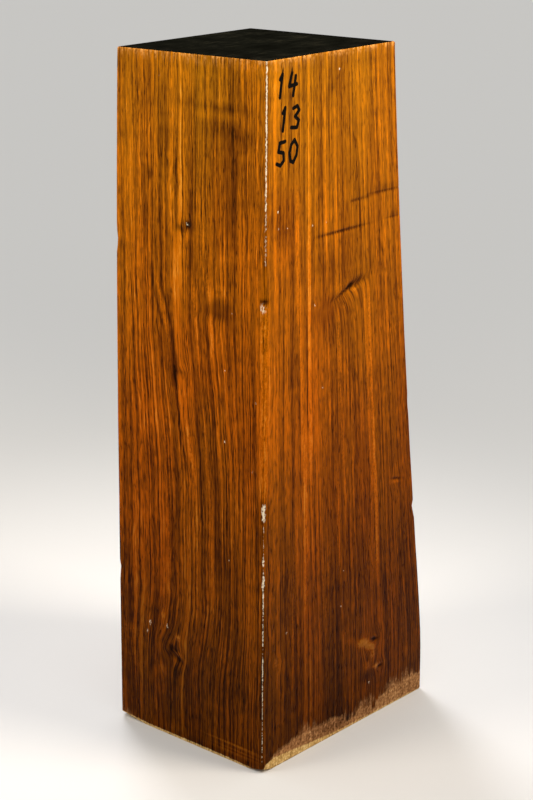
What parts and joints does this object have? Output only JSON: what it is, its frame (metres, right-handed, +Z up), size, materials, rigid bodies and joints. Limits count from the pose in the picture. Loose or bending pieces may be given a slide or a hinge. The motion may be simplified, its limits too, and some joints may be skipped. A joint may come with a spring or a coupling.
{
  "type": "walnut wood blank",
  "caption": "Tall squared blank of solid walnut with a flared foot, eased and nicked arrises, a dark sealed top end and a bare sawn foot.",
  "frame": {"origin": "on the floor under the middle of the blank's box", "axes": "+Z up along the grain, -Y out of the wide front face, -X out of the left face, +X towards the flared side"},
  "size_m": [0.1846, 0.1388, 0.497],
  "materials": {
    "walnut": "wiped oil finish over sanded walnut, satin, with a dark end sealer on the top cut"
  },
  "bodies": {
    "root": {"walnut_blank": "walnut"}
  },
  "joints": []
}
